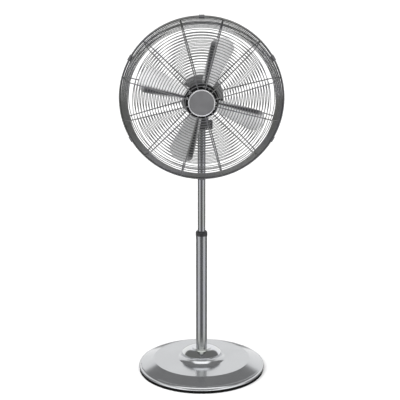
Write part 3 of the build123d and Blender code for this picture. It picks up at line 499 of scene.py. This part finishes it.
@dataclass(frozen=True)
class CastMetal(Finish):
    """A cast metal with a pitted skin."""

    metallic: float = 0.8
    pit_scale: float = 700.0
    pit_depth: float = 0.00008

    def write(self, shader: Shader) -> None:
        """Writes the casting."""
        place = shader.place()
        pits = shader.noise(place, self.pit_scale, 4.0, 0.65)
        cloud = shader.noise(place, 45.0, 4.0)
        dark = tuple(c * 0.78 for c in self.colour)
        shader.surface({
            "Base Color": shader.mix(cloud * 0.5 + pits * 0.5, dark, self.colour),
            "Metallic": self.metallic,
            "Roughness": pits * 0.16 + cloud * 0.1 + (self.roughness - 0.13),
            "Normal": shader.bump(pits, self.pit_depth),
        })


@dataclass(frozen=True)
class Winding(Finish):
    """Enamelled copper wire, wound in fine turns."""

    turn_scale: float = 900.0

    def write(self, shader: Shader) -> None:
        """Writes the winding."""
        place = shader.place()
        settings = {"wave_type": "BANDS", "bands_direction": "DIAGONAL"}
        wound = {"Vector": place, "Scale": self.turn_scale, "Distortion": 1.5}
        turns = shader.node("ShaderNodeTexWave", settings, wound, out="Fac")
        cloud = shader.noise(place, 60.0, 3.0)
        dark = tuple(c * 0.55 for c in self.colour)
        shader.surface({
            "Base Color": shader.mix(turns * 0.6 + cloud * 0.4, dark, self.colour),
            "Metallic": 0.85,
            "Roughness": cloud * 0.15 + (self.roughness - 0.07),
            "Normal": shader.bump(turns, 0.0002),
        })


class Finishes:
    """The fan's own finishes, one to each name."""

    base_lacquer = SilverEnamel("silver_enamel", (0.58, 0.59, 0.605), 0.17, 0.25)
    cover_lacquer = SilverEnamel("cover_enamel", (0.60, 0.605, 0.62), 0.24)
    dome_polish = PlatedMetal("polished_cover", (0.74, 0.75, 0.765), 0.1, Axis.EVEN, 0.000002)
    tube_plate = PlatedMetal("tube_chrome", (0.40, 0.405, 0.42), 0.2)
    guard_coat = PlatedMetal("guard_plate", (0.26, 0.26, 0.265), 0.28, Axis.EVEN, 0.000004, 0.12)
    blade_sheet = PressedSheet("blade_metal", (0.93, 0.93, 0.94), 0.34)
    black_plastic = Moulded("black_plastic", (0.018, 0.018, 0.02), 0.34)
    clip_plastic = Moulded("clip_grey", (0.09, 0.09, 0.095), 0.36, 1400.0, 0.00003)
    tyre_rubber = Moulded("rubber", (0.002, 0.002, 0.002), 0.6, 900.0, 0.00005, 0.1)
    nylon = Moulded("nylon", (0.72, 0.70, 0.64), 0.42, 900.0, 0.00002)
    black_enamel = GlossPaint("black_enamel", (0.012, 0.012, 0.013), 0.25)
    badge_paint = GlossPaint("badge_grey", (0.12, 0.12, 0.125), 0.45)
    bright_trim = PlatedMetal("bright_trim", (0.86, 0.86, 0.875), 0.08, Axis.EVEN, 0.000002)
    plain_steel = PlatedMetal("steel", (0.5, 0.5, 0.51), 0.32, Axis.CROSSWISE, 0.00001, 0.16)
    zinc_plate = PlatedMetal("zinc", (0.62, 0.61, 0.56), 0.3, Axis.EVEN, 0.000008, 0.16)
    iron = CastMetal("iron", (0.09, 0.09, 0.09), 0.62, 0.5, 420.0, 0.0002)
    die_cast = CastMetal("die_cast", (0.16, 0.16, 0.165), 0.4)
    copper = Winding("copper", (0.7, 0.3, 0.12), 0.35)


# ---------------------------------------------------------------------------------------
# Sub-assemblies
# ---------------------------------------------------------------------------------------


class Turned:
    """A new round piece, shaped from one disc by extruding, insetting and moving its face."""

    def __init__(self, name: str, centre: Vector, radius: float, sides: int = 96) -> None:
        """Lays the first disc, which faces the front.

        Args:
            name: The piece's name.
            centre: The middle of its back face.
            radius: Its radius.
            sides: The corners of its outline.
        """
        bpy.ops.object.select_all(action="DESELECT")
        bpy.ops.mesh.primitive_circle_add(vertices=sides, radius=radius, fill_type="NGON",
                                          location=centre, rotation=(math.pi / 2.0, 0.0, 0.0))
        self.piece = bpy.context.object
        self.piece.name = name
        self.piece.data.name = name
        bpy.ops.object.transform_apply(location=True, rotation=True, scale=True)
        bpy.ops.object.mode_set(mode="EDIT")
        bpy.ops.mesh.select_all(action="SELECT")

    def rise(self, height: float) -> "Turned":
        """Extrudes the face towards the front.

        Args:
            height: How far.

        Returns:
            The same piece.
        """
        bpy.ops.mesh.extrude_region_move(TRANSFORM_OT_translate={"value": (0.0, -height, 0.0)})
        return self

    def inset(self, width: float, height: float = 0.0) -> "Turned":
        """Insets the face and moves it.

        Args:
            width: How far the face shrinks.
            height: How far it moves to the front, or to the back where it is below 0.

        Returns:
            The same piece.
        """
        bpy.ops.mesh.inset(thickness=width, depth=0.0)
        if height:
            bpy.ops.transform.translate(value=(0.0, -height, 0.0))
        return self

    def done(self, smooth: float = 30.0) -> bpy.types.Object:
        """Leaves edit mode with outward normals and smooth sides.

        Args:
            smooth: Edges sharper than this many degrees stay sharp.

        Returns:
            The finished piece.
        """
        bpy.ops.mesh.select_all(action="SELECT")
        bpy.ops.mesh.remove_doubles(threshold=MERGE_DISTANCE)
        bpy.ops.mesh.normals_make_consistent(inside=False)
        bpy.ops.object.mode_set(mode="OBJECT")
        bpy.ops.object.shade_smooth_by_angle(angle=math.radians(smooth))
        return self.piece


@dataclass
class SubAssembly:
    """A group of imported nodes, with the new pieces that belong to it."""

    title: str = "group"

    def finishes(self) -> dict[str, Finish]:
        """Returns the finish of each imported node."""
        return {}

    def build(self) -> None:
        """Builds the group's new pieces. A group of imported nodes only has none."""

    def dress(self) -> None:
        """Gives each node its finish."""
        finishes = self.finishes()
        for node, finish in finishes.items():
            finish.dress([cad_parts[node]])
            log.info("%s: %s in %s", self.title, node, finish.name)

    def add(self, piece: bpy.types.Object, finish: Finish, body: str, replaced: str = "") -> None:
        """Takes a new piece into the frame.

        Args:
            piece: The finished mesh.
            finish: Its finish.
            body: The body that it rides on.
            replaced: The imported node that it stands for, if any.
        """
        finish.dress([piece])
        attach(piece, body)
        if replaced:
            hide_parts(replaced)
        log.info("%s: built %s on %s", self.title, piece.name, body)


@dataclass
class Base(SubAssembly):
    """The weighted base."""

    title: str = "base"

    def finishes(self) -> dict[str, Finish]:
        """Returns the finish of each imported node."""
        return {
            "base_cover": Finishes.base_lacquer,
            "base_edging": Finishes.tyre_rubber,
            "base_floor_plate": Finishes.plain_steel,
            "base_weight": Finishes.iron,
            "pole_flange": Finishes.iron,
            "base_screws": Finishes.zinc_plate,
            "base_dome": Finishes.dome_polish,
        }


@dataclass
class Mast(SubAssembly):
    """The telescopic mast."""

    title: str = "mast"

    def finishes(self) -> dict[str, Finish]:
        """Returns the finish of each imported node."""
        return {
            "outer_tube": Finishes.tube_plate,
            "inner_tube": Finishes.tube_plate,
            "collar_bush": Finishes.black_plastic,
            "lock_knob": Finishes.black_plastic,
            "inner_guide": Finishes.nylon,
            "mast_plug": Finishes.die_cast,
        }


@dataclass
class TiltJoint(SubAssembly):
    """The tilt joint with its clamping knob."""

    title: str = "tilt joint"

    def finishes(self) -> dict[str, Finish]:
        """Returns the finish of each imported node."""
        return {
            "tilt_yoke": Finishes.die_cast,
            "tilt_bolt": Finishes.black_enamel,
            "tilt_knob": Finishes.black_plastic,
        }


@dataclass
class SwingGear(SubAssembly):
    """The gears and the link that swing the head."""

    title: str = "swing gear"

    def finishes(self) -> dict[str, Finish]:
        """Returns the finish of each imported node."""
        return {
            "gear_case": Finishes.die_cast,
            "gear_lid": Finishes.plain_steel,
            "swivel_pin": Finishes.plain_steel,
            "worm_wheel": Finishes.nylon,
            "clutch_shaft": Finishes.plain_steel,
            "swing_knob": Finishes.black_plastic,
            "crank_gear": Finishes.nylon,
            "swing_link": Finishes.plain_steel,
        }


@dataclass
class Motor(SubAssembly):
    """The motor, its cover and its controls."""

    title: str = "motor"

    def finishes(self) -> dict[str, Finish]:
        """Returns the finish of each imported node."""
        return {
            "motor_front_shell": Finishes.black_enamel,
            "motor_rear_shell": Finishes.black_enamel,
            "motor_bearings": Finishes.plain_steel,
            "stator_core": Finishes.plain_steel,
            "stator_windings": Finishes.copper,
            "motor_screws": Finishes.zinc_plate,
            "motor_shaft": Finishes.plain_steel,
            "rotor_core": Finishes.plain_steel,
            "motor_cover": Finishes.cover_lacquer,
            "speed_switch": Finishes.black_plastic,
            "speed_knob": Finishes.black_plastic,
            "cord_gland": Finishes.black_plastic,
        }


@dataclass
class Badge(SubAssembly):
    """The plain badge in the middle of the front guard."""

    title: str = "badge"
    radius: float = 0.0328
    edge: float = 0.0005
    margin: float = 0.0013
    groove_width: float = 0.0011
    groove_depth: float = 0.0009
    slope: float = 0.0003
    crown_width: float = 0.012
    crown: float = 0.00035
    rim_radius: float = 0.0366
    rim_side: float = 0.0012
    rim_steps: tuple[tuple[float, float], ...] = (
        (0.0005, 0.0009), (0.0007, 0.0006), (0.0007, 0.0002),
        (0.0007, -0.0002), (0.0007, -0.0006), (0.0004, -0.0007),
    )

    def finishes(self) -> dict[str, Finish]:
        """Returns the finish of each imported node."""
        return {
            "badge_backplate": Finishes.plain_steel,
            "badge_disc": Finishes.badge_paint,
            "badge_ring": Finishes.bright_trim,
        }

    def build(self) -> None:
        """Builds the badge with its groove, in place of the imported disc."""
        low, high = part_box("badge_disc")
        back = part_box("badge_ring")[1][1]
        centre = Vector(((low[0] + high[0]) / 2.0, back, (low[2] + high[2]) / 2.0))
        face = back - low[1] - self.edge - self.crown
        badge = Turned("badge_face", centre, self.radius)
        badge.rise(face).inset(self.edge, self.edge).inset(self.margin)
        badge.inset(self.slope, -self.groove_depth).inset(self.groove_width)
        badge.inset(self.slope, self.groove_depth).inset(self.crown_width, self.crown)
        self.add(badge.done(), Finishes.badge_paint, "head", "badge_disc")
        rim = Turned("badge_rim", centre, self.rim_radius).rise(self.rim_side)
        for width, height in self.rim_steps:
            rim.inset(width, height)
        self.add(rim.done(ROUND_ANGLE), Finishes.bright_trim, "head", "badge_ring")


@dataclass
class Cage(SubAssembly):
    """The two wire guards, with the clips that hold them together."""

    title: str = "cage"
    clips: int = 6
    pin_radius: float = 0.0017
    pin_depth: float = 0.0012
    pin_edge: float = 0.0005
    pin_sides: int = 20
    pin_spread: float = 0.00375

    def finishes(self) -> dict[str, Finish]:
        """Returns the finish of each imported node."""
        wires = [f"{side}_{part}" for side in ("front", "rear")
                 for part in ("rim_wire", "spokes", "face_rings", "side_rings")]
        found: dict[str, Finish] = {wire: Finishes.guard_coat for wire in wires}
        found.update({f"guard_clip_{n}": Finishes.clip_plastic for n in range(1, self.clips + 1)})
        found["rear_hub_plate"] = Finishes.blade_sheet
        found["guard_nut"] = Finishes.black_plastic
        return found

    def build(self) -> None:
        """Builds the two rivets of each clip, once at the top, and copies them round the rim."""
        low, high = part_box("guard_clip_1")
        rims = [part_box("front_rim_wire"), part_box("rear_rim_wire")]
        depth = sum(rim[0][1] + rim[1][1] for rim in rims) / 4.0
        axis = Vector((0.0, 0.0, (rims[0][0][2] + rims[0][1][2]) / 2.0))
        middle = (low[0] + high[0]) / 2.0
        for number in range(1, self.clips + 1):
            turn = Matrix.Rotation(-math.tau * (number - 1) / self.clips, 4, "Y")
            place = Matrix.Translation(axis) @ turn @ Matrix.Translation(-axis)
            pins = [self.pin(Vector((middle + side * self.pin_spread, depth, high[2])))
                    for side in (-1.0, 1.0)]
            bpy.ops.object.select_all(action="DESELECT")
            for pin in pins:
                pin.select_set(True)
            bpy.context.view_layer.objects.active = pins[0]
            bpy.ops.object.join()
            pair = pins[0]
            pair.name = f"clip_rivets_{number}"
            pair.data.transform(place)
            self.add(pair, Finishes.bright_trim, f"clip_{number}")

    def pin(self, place: Vector) -> bpy.types.Object:
        """Shapes one rivet with a rounded head.

        Args:
            place: The middle of its head, on the top of the upright clip.

        Returns:
            The rivet, upright.
        """
        made = Turned("clip_rivet", Vector(), self.pin_radius, self.pin_sides)
        made.rise(self.pin_depth)
        made.inset(self.pin_edge, self.pin_edge * 0.6).inset(self.pin_edge, self.pin_edge * 0.2)
        piece = made.done(ROUND_ANGLE)
        reach = self.pin_depth + self.pin_edge * 0.8
        upright = Matrix.Rotation(-math.pi / 2.0, 4, "X")
        piece.data.transform(Matrix.Translation(place - Vector((0.0, 0.0, reach))) @ upright)
        return piece


@dataclass
class Rotor(SubAssembly):
    """The blades and their hub."""

    title: str = "rotor"

    def finishes(self) -> dict[str, Finish]:
        """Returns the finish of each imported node."""
        return {
            "blades": Finishes.blade_sheet,
            "blade_hub": Finishes.black_enamel,
            "hub_disc": Finishes.black_enamel,
            "blade_rivets": Finishes.bright_trim,
            "blade_nut": Finishes.black_plastic,
        }


# ---------------------------------------------------------------------------------------
# Studio
# ---------------------------------------------------------------------------------------


@dataclass
class Studio:
    """The pale floor, the soft lights and the camera."""

    camera_place: Vector = field(default_factory=lambda: Vector((-0.0045, -3.344, 1.454)))
    camera_pitch: float = math.radians(15.6)
    lens: float = 108.9
    floor_radius: float = 40.0
    floor_colour: Colour = (0.93, 0.93, 0.93)
    sun_strength: float = 2.6
    sun_spread: float = math.radians(70)
    sun_turn: tuple[float, float, float] = (math.radians(24), math.radians(-14), 0.0)
    sensor_width: float = 36.0
    view_reach: float = 200.0
    sky: dict[str, float] = field(default_factory=lambda: {
        "backdrop": 1.0, "overhead": 0.17, "front_box": 1.4, "front": 0.3, "below": 0.2, "side": 0.9,
        "floor": 0.75,
    })

    def build(self) -> None:
        """Builds the whole studio."""
        self.lay_floor()
        self.light()
        self.hang_sky()
        self.place_camera()
        view = bpy.context.scene.view_settings
        view.view_transform = "Standard"
        view.look = "None"
        log.info("studio: floor, sun, sky and camera")

    def lay_floor(self) -> None:
        """Lays a pale floor that the metal doesn't mirror."""
        bpy.ops.mesh.primitive_circle_add(vertices=96, radius=self.floor_radius, fill_type="NGON")
        floor = bpy.context.object
        floor.name = "studio_floor"
        floor.visible_glossy = False
        material = bpy.data.materials.new("studio_floor")
        material.use_nodes = True
        shader = Shader(material.node_tree)
        cloud = shader.noise(shader.place(), 3.0, 2.0)
        dark = tuple(c * 0.985 for c in self.floor_colour)
        shader.surface({
            "Base Color": shader.mix(cloud, dark, self.floor_colour),
            "Roughness": 0.9,
            "Specular IOR Level": 0.0,
        })
        floor.data.materials.append(material)

    def light(self) -> None:
        """Adds one wide soft key from above and in front."""
        key = bpy.data.lights.new("key", "SUN")
        key.energy = self.sun_strength
        key.angle = self.sun_spread
        lamp = bpy.data.objects.new("key", key)
        lamp.rotation_euler = self.sun_turn
        lamp.visible_glossy = False
        bpy.context.scene.collection.objects.link(lamp)

    def hang_sky(self) -> None:
        """Writes the soft surroundings that the metal mirrors, as bands of light and dark.

        The camera itself sees plain white.
        """
        world = bpy.data.worlds.new("studio")
        world.use_nodes = True
        bpy.context.scene.world = world
        shader = Shader(world.node_tree)
        direction = shader.node("ShaderNodeTexCoord", out="Generated")
        x, y, z = shader.parts(direction)
        sky = self.sky
        degree = math.radians(1.0)
        height = z.math("ARCSINE")
        turn = x.math("ARCTAN2", y).math("ABSOLUTE")
        behind = turn.step(125 * degree, 75 * degree)
        low_sky = height.band(-3 * degree, 28 * degree, 5 * degree)
        top = height.step(28 * degree, 34 * degree)
        box = height.band(25 * degree, 58 * degree, 10 * degree) * turn.step(2.0, 2.5)
        under = height.step(3 * degree, -5 * degree)
        side = turn.band(105 * degree, 138 * degree, 20 * degree) * under
        floor = height.step(-35 * degree, -50 * degree)
        value = (
            behind * low_sky * sky["backdrop"]
            + (1.0 - behind) * low_sky * sky["front"]
            + top * sky["overhead"]
            + box * sky["front_box"]
            + under * sky["below"]
            + side * sky["side"]
            + floor * sky["floor"]
        )
        seen = shader.node("ShaderNodeLightPath", out="Is Camera Ray")
        strength = seen + (1.0 - seen) * value
        glow = shader.raw("ShaderNodeBackground", inputs={"Strength": strength})
        glow.inputs["Color"].default_value = (1.0, 1.0, 1.0, 1.0)
        end = shader.raw("ShaderNodeOutputWorld")
        shader.tree.links.new(glow.outputs[0], end.inputs[0])

    def place_camera(self) -> None:
        """Stands the camera in front of the fan, a little above it."""
        data = bpy.data.cameras.new("camera")
        data.lens = self.lens
        data.sensor_width = self.sensor_width
        data.clip_end = self.view_reach
        camera = bpy.data.objects.new("camera", data)
        camera.location = self.camera_place
        camera.rotation_euler = (math.pi / 2.0 - self.camera_pitch, 0.0, 0.0)
        bpy.context.scene.collection.objects.link(camera)
        bpy.context.scene.camera = camera


def main() -> None:
    """Builds and dresses the fan, then the studio."""
    logging.basicConfig(level=logging.INFO, format="%(name)s: %(message)s")
    for group in (Base(), Mast(), TiltJoint(), SwingGear(), Motor(), Badge(), Cage(), Rotor()):
        group.build()
        group.dress()
    Studio().build()


if __name__ == "__main__":
    main()
